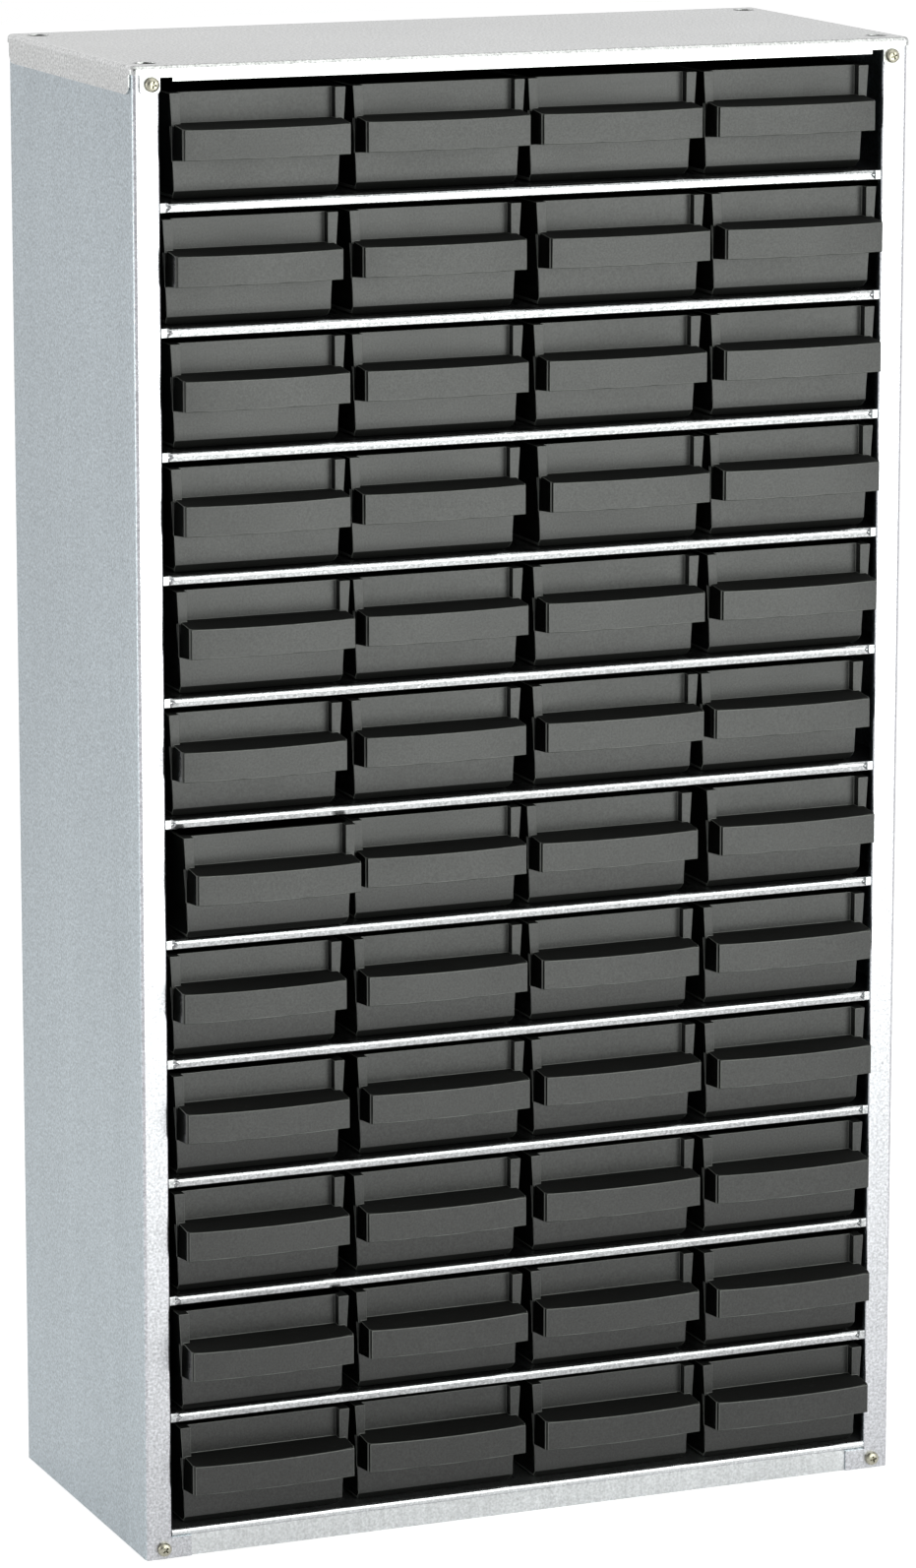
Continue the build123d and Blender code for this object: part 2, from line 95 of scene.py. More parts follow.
class CabinetShelfSettings(bpy.types.PropertyGroup):
    """Shelf sheet with a rolled front lip, repeated up the case."""
    sheet: FloatProperty(
        name="Sheet thickness", description="Thickness of the steel",
        subtype="DISTANCE", unit="LENGTH", default=0.8 * MM)
    lip_height: FloatProperty(
        name="Lip height", description="Height of the rolled front edge",
        subtype="DISTANCE", unit="LENGTH", default=4.0 * MM)
    lip_depth: FloatProperty(
        name="Lip depth", description="Depth of the rolled front edge",
        subtype="DISTANCE", unit="LENGTH", default=3.1 * MM)
    lip_top_radius: FloatProperty(
        name="Upper radius", description="Roll radius at the top of the lip",
        subtype="DISTANCE", unit="LENGTH", default=1.7 * MM)
    lip_bottom_radius: FloatProperty(
        name="Lower radius", description="Roll radius at the bottom of the lip",
        subtype="DISTANCE", unit="LENGTH", default=0.6 * MM)
    lip_lean: FloatProperty(
        name="Lip lean", description="How far the lip leans back below its roll",
        subtype="DISTANCE", unit="LENGTH", default=0.40 * MM)
    crimp_length: FloatProperty(
        name="Crimp length", description="Flattened end of the lip, next to the side flange",
        subtype="DISTANCE", unit="LENGTH", default=2.1 * MM)
    dent_length: FloatProperty(
        name="Dent length", description="Pointed dent between the crimp and the roll",
        subtype="DISTANCE", unit="LENGTH", default=2.1 * MM)
    dent_depth: FloatProperty(
        name="Dent depth", description="Depth of that dent",
        subtype="DISTANCE", unit="LENGTH", default=1.1 * MM)
    end_setback: FloatProperty(
        name="End setback", description="Where the downturned ends stop, from front and rear",
        subtype="DISTANCE", unit="LENGTH", default=5.0 * MM)
    end_height: FloatProperty(
        name="End height", description="Height of the downturned ends",
        subtype="DISTANCE", unit="LENGTH", default=8.0 * MM)
    rear_height: FloatProperty(
        name="Rear height", description="Height of the downturned rear edge",
        subtype="DISTANCE", unit="LENGTH", default=5.0 * MM)
    guide_height: FloatProperty(
        name="Guide height", description="Height of the ridges between the columns",
        subtype="DISTANCE", unit="LENGTH", default=1.2 * MM)
    guide_width: FloatProperty(
        name="Guide width", description="Width of a guide ridge at its foot",
        subtype="DISTANCE", unit="LENGTH", default=2.0 * MM)
    guide_front: FloatProperty(
        name="Guide front", description="Where the guide ridges start, from the lip's front",
        subtype="DISTANCE", unit="LENGTH", default=9.0 * MM)
    guide_rear: FloatProperty(
        name="Guide rear", description="Where the guide ridges end, from the shelf's rear",
        subtype="DISTANCE", unit="LENGTH", default=12.0 * MM)
    column_pitch: FloatProperty(
        name="Column pitch", description="Width from one column of drawers to the next",
        subtype="DISTANCE", unit="LENGTH", default=71.0 * MM)
    guide_ramp: FloatProperty(
        name="Guide ramp", description="Length of the ramp that starts each guide ridge",
        subtype="DISTANCE", unit="LENGTH", default=9.0 * MM)
    flange_width: FloatProperty(
        name="Flange width", description="Width of the side panels' front flanges",
        subtype="DISTANCE", unit="LENGTH", default=10.2 * MM)
    row_pitch: FloatProperty(
        name="Row pitch", description="Height from one shelf to the next",
        subtype="DISTANCE", unit="LENGTH", default=44.75 * MM)
    count: IntProperty(
        name="Shelves", description="Number of shelves between the bottom and the top row",
        default=11, min=1)


class CabinetDrawerSettings(bpy.types.PropertyGroup):
    """Moulded drawers of black conductive plastic."""
    colour: FloatVectorProperty(
        name="Plastic colour", description="Colour of the black plastic",
        subtype="COLOR", size=3, min=0.0, max=1.0, default=(0.0050, 0.0053, 0.0049))
    grain_size: FloatProperty(
        name="Grain size", description="Width of one speckle of the moulded surface",
        subtype="DISTANCE", unit="LENGTH", default=0.75 * MM)
    smudge_size: FloatProperty(
        name="Smudge size", description="Width of the dull patches left by handling",
        subtype="DISTANCE", unit="LENGTH", default=38.0 * MM)
    edge_rounding: FloatProperty(
        name="Edge rounding", description="Radius on the moulded edges",
        subtype="DISTANCE", unit="LENGTH", default=0.22 * MM)


class CabinetScrewSettings(bpy.types.PropertyGroup):
    """Pan-head screws at the corners of the front and the rear."""
    colour: FloatVectorProperty(
        name="Screw colour", description="Yellowish zinc of the screws",
        subtype="COLOR", size=3, min=0.0, max=1.0, default=(0.46, 0.44, 0.36))
    head_diameter: FloatProperty(
        name="Head diameter", description="Diameter of the pan head",
        subtype="DISTANCE", unit="LENGTH", default=5.4 * MM)
    head_height: FloatProperty(
        name="Head height", description="Height of the pan head",
        subtype="DISTANCE", unit="LENGTH", default=2.2 * MM)
    shank_diameter: FloatProperty(
        name="Shank diameter", description="Diameter of the thread",
        subtype="DISTANCE", unit="LENGTH", default=2.9 * MM)
    shank_length: FloatProperty(
        name="Shank length", description="Length of the thread under the head",
        subtype="DISTANCE", unit="LENGTH", default=7.0 * MM)
    recess_length: FloatProperty(
        name="Recess length", description="Span of the cross recess",
        subtype="DISTANCE", unit="LENGTH", default=3.1 * MM)
    recess_width: FloatProperty(
        name="Recess width", description="Width of one arm of the cross recess",
        subtype="DISTANCE", unit="LENGTH", default=0.75 * MM)
    seed: IntProperty(
        name="Seed", description="Fixes how far each screw is turned", default=7)


class CabinetStageSettings(bpy.types.PropertyGroup):
    """Floor, light and camera."""
    floor_colour: FloatVectorProperty(
        name="Floor colour", description="Colour of the studio floor",
        subtype="COLOR", size=3, min=0.0, max=1.0, default=(0.62, 0.62, 0.62))
    floor_glow_seen: FloatProperty(
        name="Floor glow", description="The floor's own light, as the camera sees it",
        default=0.62)
    floor_glow_mirrored: FloatProperty(
        name="Mirrored floor glow", description="The floor's own light in metal and plastic",
        default=0.47)
    floor_size: FloatProperty(
        name="Floor size", description="Width of the studio floor",
        subtype="DISTANCE", unit="LENGTH", default=12.0)
    front_panel_power: FloatProperty(
        name="Front light", description="Power of the soft panel in front of the drawers",
        subtype="POWER", unit="POWER", default=6.4)
    left_panel_power: FloatProperty(
        name="Left light", description="Power of the soft panel beside the left side",
        subtype="POWER", unit="POWER", default=4.2)
    top_panel_power: FloatProperty(
        name="Top light", description="Power of the soft panel above the front",
        subtype="POWER", unit="POWER", default=7.0)
    overhead_power: FloatProperty(
        name="Overhead light", description="Strength of the soft light from above",
        default=0.9)
    ambient: FloatProperty(
        name="Ambient light", description="Strength of the even light of the room",
        default=0.42)


# ---- Mesh helpers ------------------------------------------------------------------------

def link_object(name, mesh):
    """A new object at the origin, in the scene's own collection."""
    piece = bpy.data.objects.new(name, mesh)
    bpy.context.scene.collection.objects.link(piece)
    return piece


def plain_mesh(piece, name):
    """The evaluated shape of an object as a mesh without modifiers."""
    depsgraph = bpy.context.evaluated_depsgraph_get()
    mesh = bpy.data.meshes.new_from_object(
        piece.evaluated_get(depsgraph), preserve_all_data_layers=True, depsgraph=depsgraph)
    mesh.name = name
    return mesh


def mark_rims(mesh, widest=RIM_WIDTH):
    """Marks the narrow faces along rounded edges, which the materials paint lighter: a painted
    highlight together with handling wear.
    """
    rubbed = mesh.attributes.new("rubbed", "FLOAT", "FACE")
    for face, value in zip(mesh.polygons, rubbed.data):
        corners = [mesh.vertices[index].co for index in face.vertices]
        longest = max((after - before).length
                      for before, after in zip(corners, corners[1:] + corners[:1]))
        value.value = float(face.area < widest * longest)


def finish_mesh(piece, rounding, segments=2, sharp=34.0):
    """Rounds the sharp edges, keeps creases crisp and marks the rims."""
    piece.data.shade_smooth()
    if rounding > 0:
        bevel = piece.modifiers.new("Edge rounding", "BEVEL")
        bevel.width = rounding
        bevel.segments = segments
        bevel.limit_method = "ANGLE"
        bevel.angle_limit = math.radians(sharp)
        bevel.use_clamp_overlap = False
        bevel.miter_outer = "MITER_ARC"
    else:
        piece.data.set_sharp_from_angle(angle=math.radians(sharp))
    weighted = piece.modifiers.new("Flat faces stay flat", "WEIGHTED_NORMAL")
    weighted.weight = 60
    weighted.keep_sharp = True
    mesh = plain_mesh(piece, piece.name)
    piece.modifiers.clear()
    piece.data = mesh
    mark_rims(mesh)
    return piece


def merged_copy(node_name, piece_name):
    """A copy of a CAD node's triangles as joined faces."""
    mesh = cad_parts[node_name].data.copy()
    mesh.name = piece_name
    mesh.materials.clear()
    work = bmesh.new()
    work.from_mesh(mesh)
    bmesh.ops.remove_doubles(work, verts=work.verts, dist=4e-6)
    bmesh.ops.dissolve_limit(work, angle_limit=math.radians(0.4),
                             verts=work.verts, edges=work.edges)
    for face in work.faces:
        face.smooth = True
        face.material_index = 0
    work.to_mesh(mesh)
    work.free()
    if mesh.has_custom_normals:
        mesh.normals_split_custom_set([(0, 0, 0)] * len(mesh.loops))
    for attribute in ("custom_normal", "sharp_edge", "sharp_face"):
        if attribute in mesh.attributes:
            mesh.attributes.remove(mesh.attributes[attribute])
    return link_object(piece_name, mesh)


def place_piece(piece, body, slot, material, *nodes):
    """Gives a finished piece its material and its body, and hides the nodes that it stands for."""
    piece.data.materials.clear()
    piece.data.materials.append(material)
    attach(piece, body)
    if nodes:
        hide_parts(*nodes)
    return piece


def lathe(profile, steps):
    """A closed turned shape from (radius, height) points; the end radii are 0."""
    work = bmesh.new()
    rings = []
    for radius, height in profile:
        if radius == 0:
            rings.append([work.verts.new((0, 0, height))])
        else:
            rings.append([work.verts.new((radius * math.cos(2 * math.pi * step / steps),
                                          radius * math.sin(2 * math.pi * step / steps), height))
                          for step in range(steps)])
    for lower, upper in zip(rings, rings[1:]):
        for step in range(steps):
            after = (step + 1) % steps
            corners = [lower[step % len(lower)], lower[after % len(lower)],
                       upper[after % len(upper)], upper[step % len(upper)]]
            unique = [v for i, v in enumerate(corners) if v not in corners[:i]]
            work.faces.new(unique)
    bmesh.ops.recalc_face_normals(work, faces=work.faces)
    return work


def add_box(work, low, high):
    """Adds a closed box between two corners."""
    size = Vector(high) - Vector(low)
    centre = (Vector(high) + Vector(low)) / 2
    made = bmesh.ops.create_cube(work, size=1.0)
    bmesh.ops.scale(work, vec=size, verts=made["verts"])
    bmesh.ops.translate(work, vec=centre, verts=made["verts"])
    return made["verts"]


# ---- Node trees --------------------------------------------------------------------------

def new_geometry_tree(name, inputs):
    """A geometry tree with Geometry in and out and the named inputs."""
    tree = bpy.data.node_groups.new(name, "GeometryNodeTree")
    tree.is_modifier = True
    tree.interface.new_socket("Geometry", in_out="OUTPUT", socket_type="NodeSocketGeometry")
    tree.interface.new_socket("Geometry", in_out="INPUT", socket_type="NodeSocketGeometry")
    for label, kind, default in inputs:
        socket = tree.interface.new_socket(label, in_out="INPUT", socket_type=kind)
        if default is not None:
            socket.default_value = default
    return tree, tree.nodes.new("NodeGroupInput"), tree.nodes.new("NodeGroupOutput")


def run_tree(piece, tree, values, name):
    """Runs a geometry tree on an object and leaves its result as a plain mesh."""
    modifier = piece.modifiers.new(tree.name, "NODES")
    modifier.node_group = tree
    identifiers = {item.name: item.identifier for item in tree.interface.items_tree
                   if item.item_type == "SOCKET" and item.in_out == "INPUT"}
    for label, value in values.items():
        modifier[identifiers[label]] = value
    piece.update_tag()
    mesh = plain_mesh(piece, name)
    piece.modifiers.clear()
    piece.data = mesh
    return piece


def end_tree(tree, group_in, group_out, geometry):
    """Every tree ends in Realize Instances and Set Material."""
    realize = tree.nodes.new("GeometryNodeRealizeInstances")
    finish = tree.nodes.new("GeometryNodeSetMaterial")
    tree.links.new(geometry, realize.inputs["Geometry"])
    tree.links.new(realize.outputs["Geometry"], finish.inputs["Geometry"])
    tree.links.new(group_in.outputs["Material"], finish.inputs["Material"])
    tree.links.new(finish.outputs["Geometry"], group_out.inputs["Geometry"])


def stack_tree():
    """Repeats the object's own mesh upwards at an even pitch."""
    tree, group_in, group_out = new_geometry_tree("Stack of shelves", (
        ("Count", "NodeSocketInt", 11), ("Pitch", "NodeSocketFloat", 0.04475),
        ("First Height", "NodeSocketFloat", 0.05), ("Material", "NodeSocketMaterial", None)))
    line = tree.nodes.new("GeometryNodeMeshLine")
    start = tree.nodes.new("ShaderNodeCombineXYZ")
    step = tree.nodes.new("ShaderNodeCombineXYZ")
    place = tree.nodes.new("GeometryNodeInstanceOnPoints")
    tree.links.new(group_in.outputs["First Height"], start.inputs["Z"])
    tree.links.new(group_in.outputs["Pitch"], step.inputs["Z"])
    tree.links.new(group_in.outputs["Count"], line.inputs["Count"])
    tree.links.new(start.outputs[0], line.inputs["Start Location"])
    tree.links.new(step.outputs[0], line.inputs["Offset"])
    tree.links.new(line.outputs["Mesh"], place.inputs["Points"])
    tree.links.new(group_in.outputs["Geometry"], place.inputs["Instance"])
    end_tree(tree, group_in, group_out, place.outputs["Instances"])
    return tree


def screw_tree():
    """Seats a screw on every point of the object, each turned by a seeded angle."""
    tree, group_in, group_out = new_geometry_tree("Screws on their seats", (
        ("Screw", "NodeSocketObject", None), ("Facing", "NodeSocketVector", (0, 0, 0)),
        ("Most Turn", "NodeSocketFloat", math.pi), ("Seed", "NodeSocketInt", 7),
        ("Material", "NodeSocketMaterial", None)))
    points = tree.nodes.new("GeometryNodeMeshToPoints")
    info = tree.nodes.new("GeometryNodeObjectInfo")
    turn = tree.nodes.new("FunctionNodeRandomValue")
    about = tree.nodes.new("ShaderNodeCombineXYZ")
    place = tree.nodes.new("GeometryNodeInstanceOnPoints")
    spin = tree.nodes.new("GeometryNodeRotateInstances")
    facing = tree.nodes.new("FunctionNodeEulerToRotation")
    turn.data_type = "FLOAT"
    tree.links.new(group_in.outputs["Geometry"], points.inputs["Mesh"])
    tree.links.new(group_in.outputs["Screw"], info.inputs["Object"])
    tree.links.new(group_in.outputs["Facing"], facing.inputs["Euler"])
    tree.links.new(points.outputs["Points"], place.inputs["Points"])
    tree.links.new(info.outputs["Geometry"], place.inputs["Instance"])
    tree.links.new(facing.outputs["Rotation"], place.inputs["Rotation"])
    tree.links.new(group_in.outputs["Most Turn"], turn.inputs["Max"])
    tree.links.new(group_in.outputs["Seed"], turn.inputs["Seed"])
    tree.links.new(turn.outputs["Value"], about.inputs["Z"])
    tree.links.new(place.outputs["Instances"], spin.inputs["Instances"])
    tree.links.new(about.outputs[0], spin.inputs["Rotation"])
    end_tree(tree, group_in, group_out, spin.outputs["Instances"])
    return tree


def drawer_tree():
    """Puts the moulded drawer in one of its places."""
    tree, group_in, group_out = new_geometry_tree("Drawer in its place", (
        ("Place", "NodeSocketVector", (0, 0, 0)), ("Material", "NodeSocketMaterial", None)))
    move = tree.nodes.new("GeometryNodeTransform")
    tree.links.new(group_in.outputs["Geometry"], move.inputs["Geometry"])
    tree.links.new(group_in.outputs["Place"], move.inputs["Translation"])
    end_tree(tree, group_in, group_out, move.outputs["Geometry"])
    return tree


class ShaderBuilder:
    """Short calls for adding and joining shader nodes."""

    def __init__(self, tree):
        self.tree = tree

    def add(self, kind, settings=None, **values):
        node = self.tree.nodes.new(kind)
        for key, value in (settings or {}).items():
            setattr(node, key, value)
        for key, value in values.items():
            self.feed(node.inputs[key.replace("_", " ")], value)
        return node

    def feed(self, socket, value):
        if isinstance(value, bpy.types.NodeSocket):
            self.tree.links.new(value, socket)
        else:
            socket.default_value = value

    def maths(self, operation, first, second=None, clamp=False):
        node = self.tree.nodes.new("ShaderNodeMath")
        node.operation = operation
        node.use_clamp = clamp
        self.feed(node.inputs[0], first)
        if second is not None:
            self.feed(node.inputs[1], second)
        return node.outputs[0]

    def spread(self, value, from_low, from_high, to_low, to_high):
        node = self.add("ShaderNodeMapRange", From_Min=from_low, From_Max=from_high,
                        To_Min=to_low, To_Max=to_high, Value=value)
        return node.outputs["Result"]

    def tinted(self, colour, value):
        """A colour times a value that is about 1."""
        node = self.tree.nodes.new("ShaderNodeVectorMath")
        node.operation = "SCALE"
        self.feed(node.inputs[0], colour)
        self.feed(node.inputs["Scale"], value)
        return node.outputs["Vector"]


def shader_group(name, inputs, outputs):
    """An empty shader group with named sockets and its builder."""
    tree = bpy.data.node_groups.new(name, "ShaderNodeTree")
    for label, kind, default in inputs:
        socket = tree.interface.new_socket(label, in_out="INPUT", socket_type=kind)
        if default is not None:
            socket.default_value = default
    for label, kind in outputs:
        tree.interface.new_socket(label, in_out="OUTPUT", socket_type=kind)
    return ShaderBuilder(tree), tree.nodes.new("NodeGroupInput"), tree.nodes.new("NodeGroupOutput")


def existing_group(name, make):
    """The shader group of that name, built on first use."""
    return bpy.data.node_groups.get(name) or make(name)


def make_spangle_group(name):
    """Zinc crystals and fine speckle: Shade is about 1, Height is for a bump."""
    build, group_in, group_out = shader_group(name, (
        ("Vector", "NodeSocketVector", None), ("Crystal Scale", "NodeSocketFloat", 400.0),
        ("Speckle Scale", "NodeSocketFloat", 1400.0), ("Crystal Contrast", "NodeSocketFloat", 0.05),
        ("Speckle Contrast", "NodeSocketFloat", 0.05)),
        (("Shade", "NodeSocketFloat"), ("Dullness", "NodeSocketFloat"),
         ("Height", "NodeSocketFloat")))
    crystals = build.add("ShaderNodeTexVoronoi", {"feature": "F1"},
                         Vector=group_in.outputs["Vector"], Scale=group_in.outputs["Crystal Scale"])
    crystal = build.add("ShaderNodeSeparateColor", Color=crystals.outputs["Color"])
    speckle = build.add("ShaderNodeTexNoise", Vector=group_in.outputs["Vector"],
                        Scale=group_in.outputs["Speckle Scale"], Detail=2.0, Roughness=0.6)
    crystal_part = build.maths("MULTIPLY", build.maths("SUBTRACT", crystal.outputs["Red"], 0.5),
                               group_in.outputs["Crystal Contrast"])
    speckle_part = build.maths("MULTIPLY", build.maths("SUBTRACT", speckle.outputs["Fac"], 0.5),
                               group_in.outputs["Speckle Contrast"])
    shade = build.maths("ADD", build.maths("ADD", crystal_part, speckle_part), 1.0)
    height = build.maths("ADD", build.maths("MULTIPLY", crystal.outputs["Green"], 0.35),
                         speckle.outputs["Fac"])
    build.feed(group_out.inputs["Shade"], shade)
    build.feed(group_out.inputs["Dullness"], crystal.outputs["Blue"])
    build.feed(group_out.inputs["Height"], height)
    return build.tree


def make_streak_group(name):
    """Long soft streaks along the direction in which Stretch is small."""
    build, group_in, group_out = shader_group(name, (
        ("Vector", "NodeSocketVector", None), ("Stretch", "NodeSocketVector", (300.0, 300.0, 8.0)),
        ("Depth", "NodeSocketFloat", 0.1)),
        (("Shade", "NodeSocketFloat"), ("Mask", "NodeSocketFloat")))
    drawn = build.add("ShaderNodeVectorMath", {"operation": "MULTIPLY"})
    build.feed(drawn.inputs[0], group_in.outputs["Vector"])
    build.feed(drawn.inputs[1], group_in.outputs["Stretch"])
    noise = build.add("ShaderNodeTexNoise", Vector=drawn.outputs["Vector"], Scale=1.0,
                      Detail=3.0, Roughness=0.55)
    mask = build.spread(noise.outputs["Fac"], 0.32, 0.68, 0.0, 1.0)
    centred = build.maths("MULTIPLY", build.maths("SUBTRACT", mask, 0.5), group_in.outputs["Depth"])
    build.feed(group_out.inputs["Shade"], build.maths("ADD", centred, 1.0))
    build.feed(group_out.inputs["Mask"], mask)
    return build.tree


def make_edge_group(name):
    """Mask of the rounded edges for a painted highlight and handling wear, uneven along their
    length.
    """
    build, group_in, group_out = shader_group(name, (
        ("Vector", "NodeSocketVector", None), ("Patch Scale", "NodeSocketFloat", 120.0)),
        (("Mask", "NodeSocketFloat"),))
    marked = build.add("ShaderNodeAttribute", {"attribute_name": "rubbed"})
    uneven = build.add("ShaderNodeTexNoise", Vector=group_in.outputs["Vector"],
                       Scale=group_in.outputs["Patch Scale"], Detail=2.0)
    mask = build.maths("MULTIPLY", marked.outputs["Fac"],
                       build.spread(uneven.outputs["Fac"], 0.3, 0.7, 0.45, 1.0))
    build.feed(group_out.inputs["Mask"], mask)
    return build.tree


def make_grain_group(name):
    """Moulded grain, specks and dull patches of handled plastic."""
    build, group_in, group_out = shader_group(name, (
        ("Vector", "NodeSocketVector", None), ("Grain Scale", "NodeSocketFloat", 1800.0),
        ("Patch Scale", "NodeSocketFloat", 26.0)),
        (("Height", "NodeSocketFloat"), ("Patch", "NodeSocketFloat"), ("Speck", "NodeSocketFloat")))
    grain = build.add("ShaderNodeTexNoise", Vector=group_in.outputs["Vector"],
                      Scale=group_in.outputs["Grain Scale"], Detail=2.0, Roughness=0.7)
    patch = build.add("ShaderNodeTexNoise", Vector=group_in.outputs["Vector"],
                      Scale=group_in.outputs["Patch Scale"], Detail=3.0, Roughness=0.5)
    speck = build.add("ShaderNodeTexNoise", Vector=group_in.outputs["Vector"],
                      Scale=build.maths("MULTIPLY", group_in.outputs["Grain Scale"], 0.35),
                      Detail=1.0)
    build.feed(group_out.inputs["Height"], grain.outputs["Fac"])
    build.feed(group_out.inputs["Patch"], build.spread(patch.outputs["Fac"], 0.35, 0.7, 0.0, 1.0))
    build.feed(group_out.inputs["Speck"], build.spread(speck.outputs["Fac"], 0.66, 0.74, 0.0, 1.0))
    return build.tree


# ---- Materials ---------------------------------------------------------------------------

def new_material(name):
    """A material with a Principled shader, its builder and Object coordinates."""
    material = bpy.data.materials.new(name)
    material.use_nodes = True
    material.node_tree.nodes.clear()
    build = ShaderBuilder(material.node_tree)
    output = build.add("ShaderNodeOutputMaterial")
    shader = build.add("ShaderNodeBsdfPrincipled")
    build.feed(output.inputs["Surface"], shader.outputs["BSDF"])
    place = build.add("ShaderNodeTexCoord").outputs["Object"]
    return material, build, shader, place


def use_group(build, name, make, **values):
    """Places a shader group in a material with its own values."""
    node = build.tree.nodes.new("ShaderNodeGroup")
    node.node_tree = existing_group(name, make)
    for key, value in values.items():
        build.feed(node.inputs[key.replace("_", " ")], value)
    return node


def galvanised_steel(name, colour, stretch, streak_depth, roughness, spangle, front_lit_colour=None):
    """Hot-dip galvanised sheet: crystals, speckle, rolling streaks, and narrow edge faces painted
    lighter as highlight and wear.
    """
    steel = bpy.context.scene.cabinet_steel
    material, build, shader, place = new_material(name)
    crystals = use_group(build, "Zinc spangle", make_spangle_group, Vector=place,
                         Crystal_Scale=1.0 / steel.spangle_size,
                         Speckle_Scale=1.0 / steel.grain_size,
                         Crystal_Contrast=spangle, Speckle_Contrast=spangle * 30.0)
    streaks = use_group(build, "Rolling streaks", make_streak_group, Vector=place,
                        Stretch=stretch, Depth=streak_depth)
    clouds = build.add("ShaderNodeTexNoise", Vector=place, Scale=9.0, Detail=2.0)
    edges = use_group(build, "Rubbed edges", make_edge_group, Vector=place)
    cloud_shade = build.spread(clouds.outputs["Fac"], 0.3, 0.7, 0.97, 1.03)
    shade = build.maths("MULTIPLY", build.maths("MULTIPLY", crystals.outputs["Shade"],
                                                streaks.outputs["Shade"]), cloud_shade)
    # Narrow rim faces are up to 12 % lighter: a painted highlight along the edges together with
    # handling wear.
    rubbed = build.maths("MULTIPLY", shade,
                         build.spread(edges.outputs["Mask"], 0.0, 1.0, 1.0, 1.12))
    # Painted light: the faces that look forwards take the lighter front colour, where it is given,
    # in place of the sheet's own colour.
    facing = build.add("ShaderNodeSeparateXYZ",
                       Vector=build.add("ShaderNodeNewGeometry").outputs["Normal"])
    front = build.spread(facing.outputs["Y"], -0.80, -0.40, 1.0, 0.0)
    zinc = build.add("ShaderNodeMix", {"data_type": "RGBA"})
    build.feed(zinc.inputs[0], front)
    build.feed(zinc.inputs[6], (*colour, 1.0))
    build.feed(zinc.inputs[7], (*(front_lit_colour or colour), 1.0))
    build.feed(shader.inputs["Base Color"], build.tinted(zinc.outputs[2], rubbed))
    shader.inputs["Metallic"].default_value = 1.0
    dull = build.spread(crystals.outputs["Dullness"], 0.0, 1.0, roughness - 0.015, roughness + 0.02)
    build.feed(shader.inputs["Roughness"],
               build.maths("SUBTRACT", dull,
                           build.maths("MULTIPLY", edges.outputs["Mask"], 0.08)))
    bump = build.add("ShaderNodeBump", Strength=0.18, Distance=0.00004,
                     Height=crystals.outputs["Height"])
    build.feed(shader.inputs["Normal"], bump.outputs["Normal"])
    return material


def black_plastic():
    """Satin conductive plastic with a fine moulded grain, handling marks, painted edge highlights
    and painted shade on its recessed faces.
    """
    drawers = bpy.context.scene.cabinet_drawers
    material, build, shader, place = new_material("Black conductive plastic")
    grain = use_group(build, "Moulded grain", make_grain_group, Vector=place,
                      Grain_Scale=1.0 / drawers.grain_size, Patch_Scale=1.0 / drawers.smudge_size)
    scuffs = use_group(build, "Rolling streaks", make_streak_group, Vector=place,
                       Stretch=(60.0, 60.0, 900.0), Depth=0.5)
    edges = use_group(build, "Rubbed edges", make_edge_group, Vector=place, Patch_Scale=60.0)
    # Painted highlight: the rim faces come out about fifteen times as light as the black, a light
    # line along the moulded edges. The patches and specks are the plastic's own.
    shade = build.maths("ADD", build.spread(grain.outputs["Patch"], 0.0, 1.0, 0.85, 1.2),
                        build.maths("MULTIPLY", edges.outputs["Mask"], 14.0))
    shade = build.maths("ADD", shade, build.maths("MULTIPLY", grain.outputs["Speck"], 0.5))
    build.feed(shader.inputs["Base Color"], build.tinted(tuple(drawers.colour), shade))
    roughness = build.spread(grain.outputs["Patch"], 0.0, 1.0, 0.36, 0.42)
    roughness = build.maths("ADD", roughness, build.maths("MULTIPLY", build.maths(
        "SUBTRACT", scuffs.outputs["Shade"], 1.0), 0.06))
    roughness = build.maths("ADD", roughness, build.maths("MULTIPLY", build.maths(
        "SUBTRACT", grain.outputs["Height"], 0.5), 0.16))
    # Faces that look up or down are left coarser by the mould than the upright ones.
    facing = build.add("ShaderNodeSeparateXYZ",
                       Vector=build.add("ShaderNodeNewGeometry").outputs["Normal"])
    ledge = build.spread(facing.outputs["Z"], 0.55, 0.90, 0.0, 1.0)
    ledge = build.maths("MAXIMUM", ledge, build.spread(facing.outputs["Z"], -0.30, -0.10, 1.0, 0.0))
    cheek = build.spread(build.maths("ABSOLUTE", facing.outputs["X"]), 0.80, 0.95, 0.0, 1.0)
    roughness = build.maths("ADD", roughness, build.maths("MULTIPLY", ledge, 0.60))
    roughness = build.maths("SUBTRACT", roughness, build.maths("MULTIPLY", cheek, 0.24))
    build.feed(shader.inputs["Roughness"], roughness)
    shader.inputs["Specular IOR Level"].default_value = 0.76
    # Painted shade: the coarse faces that look up or down and the cheeks get a specular tint of a
    # tenth, so they return little light and the recesses read black.
    painted_shade_faces = build.maths("MAXIMUM", ledge, build.maths("MULTIPLY", cheek, 0.8))
    tint = build.add("ShaderNodeMix", {"data_type": "RGBA"})
    build.feed(tint.inputs[0], painted_shade_faces)
    speckled = build.spread(grain.outputs["Height"], 0.3, 0.7, 0.68, 1.0)
    build.feed(tint.inputs[6], build.tinted((1.0, 1.0, 1.0), speckled))
    build.feed(tint.inputs[7], (0.10, 0.10, 0.10, 1.0))
    build.feed(shader.inputs["Specular Tint"], tint.outputs[2])
    bump = build.add("ShaderNodeBump", Strength=0.22, Distance=0.00005,
                     Height=grain.outputs["Height"])
    build.feed(shader.inputs["Normal"], bump.outputs["Normal"])
    return material


